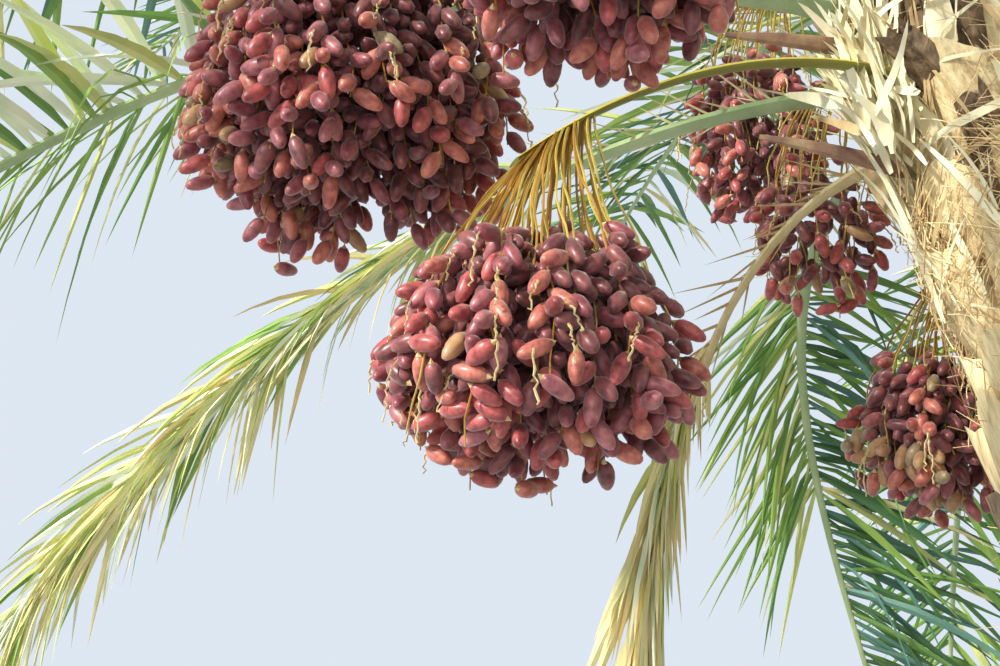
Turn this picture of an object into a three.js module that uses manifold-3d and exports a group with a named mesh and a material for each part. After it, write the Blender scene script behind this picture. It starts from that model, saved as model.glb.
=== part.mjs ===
// A fruiting date palm: one trunk, a crown of arching feather fronds, and date bunches hanging from arched stalks.
// Millimetres, +Z up. The origin is the centre of the flat cut under the trunk, at ground level.
// Fronds and bunches grow by a seeded rule, so a change to a driving dimension moves everything that depends on it.
import * as THREE from "three";
import { mergeVertices } from "three/addons/utils/BufferGeometryUtils.js";
import Module from "manifold-3d";

const wasm = await Module();
wasm.setup();

// Trunk
const headTop = 3400; // flat top of the trunk, in the heart of the crown
const lean = -100; // how far the trunk's axis has moved along X at the lean height
const leanHeight = 2750;
const leanPower = 1.5;
const trunkSides = 16; // two columns for each of the eight leaf bases in a row
// Radius at each height: root flare, column, the bulge of living leaf bases, and the heart
const trunkProfile = [
  [0, 350],
  [60, 322],
  [180, 272],
  [420, 240],
  [1200, 216],
  [2100, 200],
  [2330, 206],
  [2560, 256],
  [2760, 310],
  [2920, 304],
  [3080, 252],
  [3220, 178],
  [headTop, 74],
];

// Rows of old leaf bases, which stand out of the trunk like scales
const baseRowFirst = 170;
const baseRowLast = 2645;
const baseRowPitch = 165;
const baseRise = 0.82; // share of a row's height over which a leaf base leans outwards
const baseStandOut = 34;
const baseStandOutTop = 52; // the youngest cut bases, under the crown, are the longest
const baseStandOutEdge = 6;

// Seats
const seatClearance = 0.4; // between the trunk and whatever is seated on it
const seatDepth = 60; // how far a frond or stalk starts behind the trunk's surface, before it is cut to it
const splitGap = 0.3; // between two lengths of one frond, and between a stalk and its bunch
const clearGap = 0.8; // least room between what grows from different feet

// Fronds. One of the usual length has these sizes, and the others are scaled.
const usualLength = 3000;
const limbSteps = 48; // steps in which the course of a whole limb is followed
const sheathLength = 260; // over which the foot narrows to the petiole
const footWidth = 104;
const footHeight = 46;
const petioleWidth = 48;
const petioleHeight = 26;
const ribTipWidth = 9;
const ribTipHeight = 7;
const bladeStart = 0.2; // share of a frond's length that is bare petiole
const petioleSteps = 3;

// Leaflets, each of which stands for a spray of narrow ones
const leafletLength = 470;
const leafletFirstShare = 0.45; // length of the first leaflets, as a share of the longest
const leafletLastShare = 0.42;
const leafletLongestAt = 0.38; // where along the blade they are longest
const leafletFall = 1.3;
const leafletOpenAngle = 62; // from the rib, at the foot of the blade
const leafletCloseAngle = 30; // and at its tip
const leafletAngleSpread = 5;
const leafletLift = 24; // rise of each side out of the blade's plane
const leafletLiftSpread = 9;
const leafletSag = 0.2; // drop of a leaflet's tip, as a share of its length
const shorterTries = [1, 0.78, 0.56]; // shares of its reach that a leaflet without room is tried at

// Sheaths and bud, which join the feet of fronds that are one group
const sheathSteps = 3;
const sheathIn = 40;
const sheathOut = 24;
const sheathRise = 32;
const budSides = 8;
const budRadius = 66;
const budTipRadius = 20;
const budHeight = 420;

// Fruit
const stalkWidth = 34;
const stalkHeight = 20;
const stalkTipShare = 0.62;
const stalkSteps = 7;
const stalkSides = 6;
const hubLength = 46; // the stalk's last piece, from which the strands fan out
const strandRadius = 7;
const strandCount = 4;
const coreSides = 8;
const coreLevels = [-0.95, -0.62, -0.14, 0.36, 0.84];
const dateLength = 66; // larger than life, as each date stands for a few real ones
const dateRadius = 21;
const dateDroop = 0.3;
const dateReach = 0.85; // share of a date's length that stands out of the bunch's core

// The crown, from the dry skirt up to the heart. azimuth and step place fronds round the trunk, foot is the height
// where they leave it, launch their rise there and bend how far they turn down, sooner where curl is large. split
// is where a frond that bends round a wide gap is cut in two, and group how many are joined at the foot. fold closes
// leaflets along the rib, limp makes them hang, spread and stout scale them and the rib. Angles are in degrees.
const tiers = [
  {
    name: "dry_frond", count: 3, azimuth: 156, step: -118, foot: 2640, launch: -4, bend: 84, curl: 6.5,
    length: 2250, split: 0.2, pairs: 15, spread: 0.72, limp: 1.6, roll: 10, fold: 0.55, stout: 0.8,
  },
  {
    name: "skirt_frond", count: 4, azimuth: 104, step: -63, foot: 2700, launch: 12, bend: 98, curl: 2.6,
    length: 2650, split: 0.4, pairs: 16, spread: 1, limp: 1, roll: 14, fold: 1, stout: 1,
  },
  {
    name: "outer_frond", count: 9, azimuth: 176, step: -40, foot: 2810, launch: 20, bend: 72, curl: 1.6,
    length: 3000, pairs: 15, spread: 1, limp: 1, roll: 30, fold: 1, stout: 1,
  },
  {
    name: "middle_frond", count: 10, azimuth: 199, step: -36, foot: 2950, launch: 42, bend: 74, curl: 1.2,
    length: 3050, pairs: 15, spread: 1, limp: 1, roll: 24, fold: 1, stout: 1,
  },
  {
    name: "upper_frond", count: 8, azimuth: 190, step: -45, foot: 3090, launch: 60, bend: 62, curl: 1,
    length: 2900, group: 2, pairs: 15, spread: 0.95, limp: 0.8, roll: 16, fold: 1, stout: 0.9,
  },
  {
    name: "young_frond", count: 6, azimuth: 172, step: -60, foot: 3230, launch: 75, bend: 40, curl: 0.8,
    length: 2550, group: 2, pairs: 14, spread: 0.8, limp: 0.5, roll: 10, fold: 0.8, stout: 0.8,
  },
  {
    name: "heart_frond", count: 5, azimuth: 150, step: -72, foot: 3450, launch: 84, bend: 10, curl: 0.6,
    length: 2050, group: 5, inset: 48, pairs: 8, spread: 0.34, limp: 0.2, roll: 0, fold: 0.5, stout: 0.6,
  },
];
const rootVariation = { azimuth: 4, foot: 25, launch: 4, bend: 5 };
const lengthVariation = [0.95, 1.03];
const swayVariation = 8; // turn of a frond's course to one side, from foot to tip

// Fronds with a course of their own, where it is known or where the rule's place is taken
const placedFronds = {
  dry_frond_1: { azimuth: 154.8, foot: 2660, launch: 13, bend: 103, curl: 6.7, sway: -3, length: 2300 },
  skirt_frond_1: { azimuth: 119.5, foot: 2786, launch: 17.6, bend: 108, curl: 1.95, sway: -131, length: 2650 },
  outer_frond_1: { azimuth: 173, foot: 2834, launch: 20.5, bend: 77, curl: 1.5, sway: 0, roll: 20, length: 3100 },
  outer_frond_2: {
    azimuth: 149.8, foot: 2778, launch: 14, bend: 62, curl: 2, sway: -9, roll: 8, length: 3000, fold: 0.6,
    spread: 0.85,
  },
  outer_frond_3: { azimuth: 82 },
  outer_frond_5: { azimuth: 20.5 },
  outer_frond_9: { azimuth: -138.4 },
  middle_frond_1: { azimuth: 203.6 },
  middle_frond_3: { azimuth: 131, launch: 56, bend: 58 },
  middle_frond_4: { azimuth: 102, launch: 42, bend: 58, sway: 0 },
};

// Fruit stalks by the same rule, and how far below a stalk's tip its bunch hangs and how wide and tall it is
const fruit = [
  { azimuth: 199.6, foot: 2649, launch: 18, bend: 60, curl: 0.9, length: 655, drop: 240, wide: 194, tall: 162 },
  { azimuth: 190.2, foot: 2980, launch: 26, bend: 49, curl: 1.4, length: 811, drop: 300, wide: 232, tall: 240 },
  { azimuth: 217.9, foot: 2890, launch: 26, bend: 47, curl: 1.3, length: 675, drop: 260, wide: 168, tall: 155 },
  { azimuth: 123.8, foot: 3040, launch: 42, bend: 40, curl: 1.4, length: 465, drop: 250, wide: 130, tall: 190 },
  { azimuth: 137.6, foot: 2860, launch: 24, bend: 40, curl: 1.6, length: 208, drop: 220, wide: 110, tall: 135 },
  { azimuth: 119.3, foot: 2550, launch: 20, bend: 40, curl: 1.8, length: 178, drop: 220, wide: 140, tall: 150 },
  { azimuth: 62, foot: 2760, launch: 24, bend: 90, curl: 1.4, length: 600, drop: 240, wide: 175, tall: 165 },
  { azimuth: 6, foot: 2820, launch: 26, bend: 84, curl: 1.4, length: 660, drop: 250, wide: 185, tall: 165 },
  { azimuth: 312, foot: 2740, launch: 22, bend: 88, curl: 1.4, length: 620, drop: 245, wide: 175, tall: 165 },
].map((stalk) => ({ ...stalk, sway: 0, roll: 0 }));

const degrees = Math.PI / 180;
const up = new THREE.Vector3(0, 0, 1);

// A seeded draw between 0 and 1, the same in every run
function seeded(seed) {
  let state = Math.imul(seed, 2654435761) >>> 0;
  const draw = () => {
    state = (Math.imul(state, 1664525) + 1013904223) >>> 0;
    return state / 2 ** 32;
  };
  draw();
  return draw;
}

const between = (draw, low, high) => low + (high - low) * draw();

// A level direction at an azimuth in degrees
function level(azimuth) {
  return new THREE.Vector3(Math.cos(azimuth * degrees), Math.sin(azimuth * degrees), 0);
}

// Points evenly round a centre, on the ellipse with these two half axes
function ringPoints(count, centre, across, over) {
  return Array.from({ length: count }, (_, corner) => {
    const angle = (corner / count) * 2 * Math.PI;
    const point = centre.clone().addScaledVector(across, Math.cos(angle));
    return point.addScaledVector(over, Math.sin(angle));
  });
}

// A solid from points and triangles, turned the right way out
function solidOf(points, triangles) {
  const made = new wasm.Manifold(
    new wasm.Mesh({
      numProp: 3,
      vertProperties: new Float32Array(points.flatMap((point) => point.toArray())),
      triVerts: new Uint32Array(triangles.flat()),
    }),
  );
  return made.volume() < 0 ? solidOf(points, triangles.map(([a, b, c]) => [a, c, b])) : made;
}

// A closed skin over rings of equal length, with a flat fan at each end
function loft(rings) {
  const sides = rings[0].length;
  const triangles = [];
  for (let ring = 0; ring + 1 < rings.length; ring++) {
    for (let side = 0; side < sides; side++) {
      const a = ring * sides + side;
      const b = ring * sides + ((side + 1) % sides);
      triangles.push([a, b, b + sides], [a, b + sides, a + sides]);
    }
  }
  const last = (rings.length - 1) * sides;
  for (let side = 1; side + 1 < sides; side++) {
    triangles.push([0, side + 1, side], [last, last + side, last + side + 1]);
  }
  return solidOf(rings.flat(), triangles);
}

// A solid's largest body, without loose scraps
function wholeBody(solid) {
  return solid.decompose().reduce((largest, body) => (body.volume() > largest.volume() ? body : largest));
}

// Centre of the trunk at a height
function trunkAxis(z) {
  return new THREE.Vector3(lean * (z / leanHeight) ** leanPower, 0, z);
}

// Radius of the trunk at a height, along straight runs between the profile's points
function trunkRadius(z) {
  if (z >= headTop) return trunkProfile.at(-1)[1];
  const above = Math.max(trunkProfile.findIndex(([height]) => height >= z), 1);
  const [lowZ, lowRadius] = trunkProfile[above - 1];
  const [highZ, highRadius] = trunkProfile[above];
  return lowRadius + ((highRadius - lowRadius) * (z - lowZ)) / (highZ - lowZ);
}

// Section of the trunk at a height. standOut says how far each side stands out of the profile.
function trunkRing(z, standOut) {
  return Array.from({ length: trunkSides }, (_, side) =>
    trunkAxis(z).addScaledVector(level((side / trunkSides) * 360), trunkRadius(z) + standOut(side)),
  );
}

// The trunk with its rows of leaf bases. grow swells it evenly, for the seats that are cut to it.
function trunkSolid(grow) {
  const plain = ([z]) => trunkRing(z, () => grow);
  const rings = trunkProfile.filter(([z]) => z < baseRowFirst).map(plain);
  const rows = Math.round((baseRowLast - baseRowFirst) / baseRowPitch);
  for (let row = 0; row < rows; row++) {
    const foot = baseRowFirst + row * baseRowPitch;
    const most = baseStandOut + (baseStandOutTop - baseStandOut) * (row / rows) ** 3;
    const standOut = (side) => grow + ((side + row) % 2 ? most : baseStandOutEdge);
    rings.push(plain([foot]), trunkRing(foot + baseRise * baseRowPitch, standOut));
  }
  return loft([...rings, ...trunkProfile.filter(([z]) => z > baseRowLast).map(plain)]);
}

const trunk = trunkSolid(0);
const seat = trunkSolid(seatClearance);

// What is left of a solid outside the trunk
const seated = (solid) => wholeBody(solid.subtract(seat));

// Direction of a frond or stalk at a share of its length
function headingAt(limb, share) {
  const turned = (1 - Math.exp(-limb.curl * share)) / (1 - Math.exp(-limb.curl));
  const rise = (limb.launch - limb.bend * turned) * degrees;
  const outward = level(limb.azimuth + limb.sway * share).multiplyScalar(Math.cos(rise));
  return outward.addScaledVector(up, Math.sin(rise));
}

function limbPoint(limb, share) {
  const inset = limb.inset ?? seatDepth * Math.cos(limb.launch * degrees);
  const point = trunkAxis(limb.foot).addScaledVector(level(limb.azimuth), trunkRadius(limb.foot) - inset);
  const steps = Math.max(Math.round(share * limbSteps), 1);
  for (let step = 0; step < steps; step++) {
    point.addScaledVector(headingAt(limb, ((step + 0.5) / steps) * share), (share * limb.length) / steps);
  }
  return point;
}

// Place and directions of a limb's section: side is level before the roll, and over faces away from the ground
function limbStation(limb, share) {
  const tangent = headingAt(limb, share);
  const across = level(limb.azimuth + limb.sway * share + 90);
  const over = new THREE.Vector3().crossVectors(tangent, across);
  const roll = limb.roll * share * degrees;
  const side = across.clone().multiplyScalar(Math.cos(roll)).addScaledVector(over, Math.sin(roll));
  over.multiplyScalar(Math.cos(roll)).addScaledVector(across, -Math.sin(roll));
  return { share, point: limbPoint(limb, share), tangent, side, over };
}

// Section of a frond's rib, from the broad foot over the petiole to the thin tip
function ribStation(frond, share) {
  const sheath = Math.max(1 - (share * frond.length) / sheathLength, 0) ** 2;
  const size = (frond.length / usualLength) * frond.stout;
  const taper = (tip, petiole, foot) => size * (tip + (petiole - tip) * (1 - share) + (foot - petiole) * sheath);
  return {
    ...limbStation(frond, share),
    width: taper(ribTipWidth, petioleWidth, footWidth),
    height: taper(ribTipHeight, petioleHeight, footHeight),
  };
}

function ribCorners({ point, side, over, width, height }) {
  const corner = (hand, top) =>
    point.clone().addScaledVector(side, (hand * width) / 2).addScaledVector(over, (top * height) / 2);
  return [corner(1, 1), corner(1, -1), corner(-1, -1), corner(-1, 1)];
}

// Reach of the leaflets at a share of the blade's length
function leafletReach(frond, along) {
  const rise = Math.sin((Math.min(along / leafletLongestAt, 1) * Math.PI) / 2);
  const fall = Math.max((along - leafletLongestAt) / (1 - leafletLongestAt), 0) ** leafletFall;
  const swell = leafletFirstShare + (1 - leafletFirstShare) * rise;
  const shrink = 1 - (1 - leafletLastShare) * fall;
  return leafletLength * (frond.length / usualLength) * frond.spread * swell * shrink;
}

// Tip of the leaflet that grows at a station; hand is 1 on the left and -1 on the right
function leafletTip(frond, station, hand, draw) {
  const along = (station.share - bladeStart) / (1 - bladeStart);
  const open = leafletOpenAngle + (leafletCloseAngle - leafletOpenAngle) * along;
  const angle = (open * frond.fold + between(draw, -leafletAngleSpread, leafletAngleSpread)) * degrees;
  const lift = (leafletLift + between(draw, -leafletLiftSpread, leafletLiftSpread)) * degrees;
  const reach = leafletReach(frond, along) * between(draw, 0.9, 1);
  const outward = station.side.clone().multiplyScalar(hand * Math.cos(lift));
  outward.addScaledVector(station.over, Math.sin(lift));
  const tip = station.point.clone().addScaledVector(station.tangent, Math.cos(angle) * reach);
  return tip.addScaledVector(outward, Math.sin(angle) * reach).addScaledVector(up, -leafletSag * frond.limp * reach);
}

// Shares of a frond's length that have a station: even along the bare petiole, then one for each pair of leaflets
function stationShares(frond) {
  const pitch = (1 - bladeStart) / frond.pairs;
  const petiole = Array.from({ length: petioleSteps }, (_, step) => (step / petioleSteps) * bladeStart);
  return [...petiole, ...Array.from({ length: frond.pairs + 1 }, (_, pair) => bladeStart + pitch * pair)];
}

// The lengths that a frond is made in, each with its stations and with leaflets that may still lose reach
function frondLengths(frond) {
  const shares = stationShares(frond);
  const cut = shares.findIndex((share) => share >= frond.split);
  const spans = frond.split ? [shares.slice(0, cut + 1), shares.slice(cut)] : [shares];
  return spans.map((span, part) => {
    const stations = span.map((share) => ribStation(frond, share));
    if (part) stations[0].point.addScaledVector(stations[0].tangent, splitGap);
    const leaflets = stations.slice(0, -1).flatMap((station, index) => {
      if (station.share < bladeStart) return [];
      const draw = seeded(frond.seed * 100 + shares.indexOf(station.share));
      const root = station.point.clone().lerp(stations[index + 1].point, 0.5);
      return [1, -1].map((hand) => ({ index, hand, root, tip: leafletTip(frond, station, hand, draw), reach: 1 }));
    });
    return { stations, leaflets };
  });
}

const reachedTip = ({ root, tip, reach }) => root.clone().lerp(tip, reach);

// One leaflet by itself: the stretch of the rib's side that it grows from, drawn out to its tip
function leafletSolid({ stations }, leaflet) {
  const [a, b] = [stations[leaflet.index], stations[leaflet.index + 1]].map(ribCorners);
  const [top, foot] = leaflet.hand > 0 ? [0, 1] : [3, 2];
  const points = [a[top], b[top], b[foot], a[foot], reachedTip(leaflet)];
  return solidOf(points, [[0, 1, 4], [1, 2, 4], [2, 3, 4], [3, 0, 4], [0, 2, 1], [0, 3, 2]]);
}

// A length of frond as one closed skin: a four-cornered rib, and on its sides a sharp leaflet between stations
function lengthSolid({ stations }, leaflets) {
  const points = stations.flatMap(ribCorners);
  const last = (stations.length - 1) * 4;
  const triangles = [[0, 1, 2], [0, 2, 3], [last, last + 2, last + 1], [last, last + 3, last + 2]];
  const handOfSide = [1, 0, -1, 0];
  for (let index = 0; index + 1 < stations.length; index++) {
    handOfSide.forEach((hand, side) => {
      const a = index * 4 + side;
      const b = index * 4 + ((side + 1) % 4);
      const leaflet = hand && leaflets.find((one) => one.index === index && one.hand === hand && one.reach);
      if (leaflet) {
        const tip = points.push(reachedTip(leaflet)) - 1;
        triangles.push([b, a, tip], [b + 4, b, tip], [a + 4, b + 4, tip], [a, a + 4, tip]);
      } else {
        triangles.push([b, a, b + 4], [a, a + 4, b + 4]);
      }
    });
  }
  return solidOf(points, triangles);
}

// Every frond of the crown, with its own small variations. Those with a course of their own come first, for room.
function crownFronds() {
  const fronds = tiers.flatMap((tier, row) =>
    Array.from({ length: tier.count }, (_, index) => {
      const number = index + 1;
      const seed = row * 20 + number;
      const draw = seeded(seed);
      const varied = { ...tier, azimuth: tier.azimuth + tier.step * index };
      for (const [key, most] of Object.entries(rootVariation)) varied[key] += between(draw, -most, most);
      varied.length *= between(draw, ...lengthVariation);
      varied.sway = between(draw, -swayVariation, swayVariation);
      varied.roll *= between(draw, -1, 1);
      const name = `${tier.name}_${number}`;
      return { ...varied, ...placedFronds[name], name, tier: tier.name, number, seed };
    }),
  );
  return fronds.sort((a, b) => Boolean(placedFronds[b.name]) - Boolean(placedFronds[a.name]));
}

// The sheath that wraps round the trunk from the foot of one frond to its neighbour's and makes them one
function sheathSolid(from, to) {
  const rings = Array.from({ length: sheathSteps + 1 }, (_, step) => {
    const foot = from.foot + ((to.foot - from.foot) * step) / sheathSteps;
    const outward = level(from.azimuth + ((to.azimuth - from.azimuth) * step) / sheathSteps);
    const corner = (radius, height) =>
      trunkAxis(foot).addScaledVector(outward, trunkRadius(foot) + radius).addScaledVector(up, height);
    return [
      corner(-sheathIn, -sheathOut),
      corner(sheathOut, -sheathOut),
      corner(sheathOut / 2, sheathRise),
      corner(-sheathIn, sheathRise),
    ];
  });
  return seated(loft(rings));
}

// The bud in the middle of the crown, which the youngest fronds stand in
function budSolid() {
  const ring = (radius, height) => {
    const centre = trunkAxis(headTop).addScaledVector(up, height);
    return ringPoints(budSides, centre, level(0).multiplyScalar(radius), level(90).multiplyScalar(radius));
  };
  return loft([ring(budRadius, seatClearance), ring(budTipRadius, budHeight)]);
}

function stalkStation(stalk, share) {
  const taper = 1 - (1 - stalkTipShare) * share;
  return { ...limbStation(stalk, share), width: stalkWidth * taper, height: stalkHeight * taper };
}

// Section of a stalk, wider than it is tall
function stalkRing({ point, side, over, width, height }) {
  const across = side.clone().multiplyScalar(width / 2);
  return ringPoints(stalkSides, point, across, over.clone().multiplyScalar(height / 2));
}

function stalkSolid(stalk) {
  const shares = Array.from({ length: stalkSteps + 1 }, (_, step) => step / stalkSteps);
  return seated(loft(shares.map((share) => stalkRing(stalkStation(stalk, share)))));
}

// A three-sided strand from one point to another
function strandSolid(from, to) {
  const along = to.clone().sub(from).normalize();
  const across = new THREE.Vector3().crossVectors(level(0), along).setLength(strandRadius);
  const over = new THREE.Vector3().crossVectors(along, across);
  return loft([ringPoints(3, from, across, over), ringPoints(3, to, across, over)]);
}

// A date on one cell of a bunch's core, as new points and triangles: its rim, its girth and its tip
function addDate(points, triangles, rim, centre, draw) {
  const middle = new THREE.Vector3();
  rim.forEach((corner) => middle.addScaledVector(points[corner], 1 / rim.length));
  const out = middle.clone().sub(centre).normalize().addScaledVector(up, -dateDroop).normalize();
  const length = dateLength * between(draw, 0.8, 1.15);
  const belly = middle.clone().addScaledVector(out, length * 0.4);
  const girth = rim.map((corner) => {
    const across = points[corner].clone().sub(middle).projectOnPlane(out).setLength(dateRadius);
    return points.push(belly.clone().add(across)) - 1;
  });
  const tip = points.push(middle.clone().addScaledVector(out, length)) - 1;
  rim.forEach((corner, index) => {
    const after = (index + 1) % rim.length;
    triangles.push([corner, rim[after], girth[after]], [corner, girth[after], girth[index]]);
    triangles.push([girth[index], girth[after], tip]);
  });
}

// The packed fruit of a bunch: a rounded core whose skin rises into a date at every cell
function packedDates(centre, wide, tall, draw) {
  const points = coreLevels.flatMap((height, row) => {
    const girth = Math.sqrt(1 - height * height) * wide;
    const turn = (row / 2 / coreSides) * 360;
    const middle = centre.clone().addScaledVector(up, height * tall);
    return ringPoints(coreSides, middle, level(turn).multiplyScalar(girth), level(turn + 90).multiplyScalar(girth));
  });
  const last = (coreLevels.length - 1) * coreSides;
  const triangles = [];
  for (let side = 1; side + 1 < coreSides; side++) {
    triangles.push([0, side + 1, side], [last, last + side, last + side + 1]);
  }
  for (let cell = 0; cell < last; cell++) {
    const next = (cell + 1) % coreSides ? cell + 1 : cell + 1 - coreSides;
    addDate(points, triangles, [cell, next, next + coreSides, cell + coreSides], centre, draw);
  }
  return solidOf(points, triangles);
}

// A bunch: the end of the stalk, strands that fan out of it, and the dates packed round their ends
function bunchSolid(stalk, seed) {
  const draw = seeded(seed);
  const tip = stalkStation(stalk, 1);
  const beyond = (distance) => tip.point.clone().addScaledVector(tip.tangent, distance);
  const centre = tip.point.clone().addScaledVector(up, -stalk.drop);
  const [wide, tall] = [stalk.wide, stalk.tall].map((size) => size - dateReach * dateLength);
  let made = loft([splitGap, hubLength].map((distance) => stalkRing({ ...tip, point: beyond(distance) })));
  made = made.add(packedDates(centre, wide, tall, draw));
  for (let strand = 0; strand < strandCount; strand++) {
    const outward = level(((strand + draw() / 2) / strandCount) * 360);
    const foot = centre.clone().addScaledVector(outward, stalk.wide * between(draw, 0.2, 0.5));
    made = made.add(strandSolid(beyond(hubLength * 0.7), foot.addScaledVector(up, stalk.tall * 0.3)));
  }
  return made;
}

// What is already in place, with the frond and length that it belongs to
const inPlace = [];

function occupant(solid, frond = {}, part = 0) {
  const { min, max } = solid.boundingBox();
  return { solid, min, max, frond, part };
}

const boxesNear = (a, b, gap) => [0, 1, 2].every((i) => a.min[i] - gap < b.max[i] && b.min[i] - gap < a.max[i]);

// Whether a solid keeps its room. The two lengths of a frond may come nearer each other than strangers.
function isClear(tried, others) {
  return others.every((other) => {
    const akin = tried.frond === other.frond;
    if (akin && other.part === tried.part) return true;
    const room = akin ? splitGap / 3 : clearGap;
    return !boxesNear(tried, other, room) || tried.solid.minGap(other.solid, room) >= room;
  });
}

// The ribs of a frond, which start on the trunk and must clear every stalk, bunch and other rib
function growRibs(frond) {
  const lengths = frondLengths(frond);
  const ribs = lengths.map((length, part) => {
    const rib = lengthSolid(length, []);
    return occupant(part ? rib : seated(rib), frond, part);
  });
  const joined = ({ frond: other }) => frond.inset && other.tier === frond.tier;
  const others = inPlace.filter((other) => other.solid !== seat && !joined(other));
  if (!ribs.every((rib) => isClear(rib, others))) throw new Error(`${frond.name} has no room`);
  inPlace.push(...ribs);
  return { frond, lengths };
}

// Leaflets, shortened where they would touch what is in place, and left out where that isn't enough
function growLeaflets({ frond, lengths }) {
  lengths.forEach((length, part) => {
    for (const leaflet of length.leaflets) {
      const fits = (share) => {
        leaflet.reach = share;
        return isClear(occupant(leafletSolid(length, leaflet), frond, part), inPlace);
      };
      leaflet.reach = shorterTries.find(fits) ?? 0;
      if (leaflet.reach) inPlace.push(occupant(leafletSolid(length, leaflet), frond, part));
    }
  });
}

const material = (color, roughness) => new THREE.MeshStandardMaterial({ color, roughness, metalness: 0 });
const bark = material(0x9a8360, 0.95);
const greenBlade = material(0x76903f, 0.6);
const dryBlade = material(0xc6a862, 0.8);
const greenStalk = material(0xa9a03a, 0.5);
const ripeFruit = material(0x7a3a31, 0.45);

function meshOf(name, solid, finish) {
  const { numProp, vertProperties, triVerts } = solid.getMesh();
  const positions = Float32Array.from(vertProperties).filter((_, index) => index % numProp < 3);
  const geometry = new THREE.BufferGeometry();
  geometry.setAttribute("position", new THREE.BufferAttribute(positions, 3));
  geometry.setIndex(new THREE.BufferAttribute(triVerts, 1));
  const mesh = new THREE.Mesh(mergeVertices(geometry), finish);
  mesh.name = name;
  return mesh;
}

const palm = new THREE.Group();
palm.add(meshOf("trunk", trunk, bark));
inPlace.push(occupant(seat));

fruit.forEach((stalk, index) => {
  const arm = stalkSolid(stalk);
  const bunch = bunchSolid(stalk, index + 1);
  inPlace.push(occupant(arm), occupant(bunch));
  palm.add(meshOf(`fruit_stalk_${index + 1}`, arm, greenStalk));
  palm.add(meshOf(`date_bunch_${index + 1}`, bunch, ripeFruit));
});

const grown = crownFronds().map(growRibs);
grown.forEach(growLeaflets);

// The fronds of a group are fused, in the heart by the bud and elsewhere by sheaths. The others are their own nodes.
const groups = new Map();
for (const { frond, lengths } of grown) {
  const solids = lengths.map((length, part) => {
    const solid = lengthSolid(length, length.leaflets);
    return part ? solid : seated(solid);
  });
  if (frond.group) {
    const name = `${frond.tier}s_${Math.ceil(frond.number / frond.group)}`;
    const members = groups.get(name) ?? [];
    if (members.length) {
      members.push({ solid: frond.inset ? budSolid() : sheathSolid(members.at(-1).frond, frond) });
    }
    groups.set(name, [...members, { frond, solid: solids[0] }]);
  } else {
    const finish = frond.tier === "dry_frond" ? dryBlade : greenBlade;
    const ends = frond.split ? ["_inner", "_outer"] : [""];
    solids.forEach((solid, part) => palm.add(meshOf(frond.name + ends[part], solid, finish)));
  }
}
for (const [name, members] of groups) {
  const fused = wasm.Manifold.union(members.map(({ solid }) => solid));
  palm.add(meshOf(name, wholeBody(fused), greenBlade));
}

export default palm;
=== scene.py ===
import bpy
import numpy as np
from mathutils import Matrix


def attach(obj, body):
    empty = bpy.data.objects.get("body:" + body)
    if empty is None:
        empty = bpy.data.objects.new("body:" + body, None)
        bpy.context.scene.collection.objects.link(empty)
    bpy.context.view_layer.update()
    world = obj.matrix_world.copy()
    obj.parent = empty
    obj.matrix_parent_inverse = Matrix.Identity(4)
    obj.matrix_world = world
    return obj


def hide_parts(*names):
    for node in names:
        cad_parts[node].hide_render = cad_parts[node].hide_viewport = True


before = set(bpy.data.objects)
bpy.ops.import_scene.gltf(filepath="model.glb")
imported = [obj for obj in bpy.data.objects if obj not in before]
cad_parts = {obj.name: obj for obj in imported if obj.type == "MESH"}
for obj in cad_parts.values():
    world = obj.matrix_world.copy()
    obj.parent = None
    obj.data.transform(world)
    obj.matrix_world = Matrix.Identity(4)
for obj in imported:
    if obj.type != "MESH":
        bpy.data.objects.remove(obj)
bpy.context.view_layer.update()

UP = np.array([0.0, 0.0, 1.0])
GOLDEN_TURN = 137.5

# Seeds of the random draws. Each group has its own, so that a change to one leaves the others alone
FROND_SEED = 7
FRUIT_SEED = 8
TRUNK_SEED = 11

# Trunk, as in the solids: its lean, its radii at some heights, and its rows of cut leaf bases
HEAD_TOP = 3.4
LEAN = -0.1
LEAN_HEIGHT = 2.75
LEAN_POWER = 1.5
TRUNK_HEIGHTS = [0, 0.06, 0.18, 0.42, 1.2, 2.1, 2.33, 2.56, 2.76, 2.92, 3.08, 3.22, HEAD_TOP]
TRUNK_RADII = [0.35, 0.322, 0.272, 0.24, 0.216, 0.2, 0.206, 0.256, 0.31, 0.304, 0.252, 0.178, 0.074]
BASE_FIRST = 0.17
BASE_LAST = 2.645
BASE_OUT = 0.034
BASE_OUT_TOP = 0.052
SEAT_DEPTH = 0.06

# Fronds, as in the solids. A size is a width and a height
USUAL_LENGTH = 3.0
LIMB_STEPS = 96
SHEATH_LENGTH = 0.26
FOOT_SIZE = (0.104, 0.046)
PETIOLE_SIZE = (0.048, 0.026)
RIB_TIP_SIZE = (0.009, 0.007)
BLADE_START = 0.2
LEAFLET_LENGTH = 0.47
LEAFLET_LAST_SHARE = 0.42
LEAFLET_LONGEST_AT = 0.38
LEAFLET_FALL = 1.3
LEAFLET_OPEN = 62
LEAFLET_CLOSE = 30
LEAFLET_LIFT = 24

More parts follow.
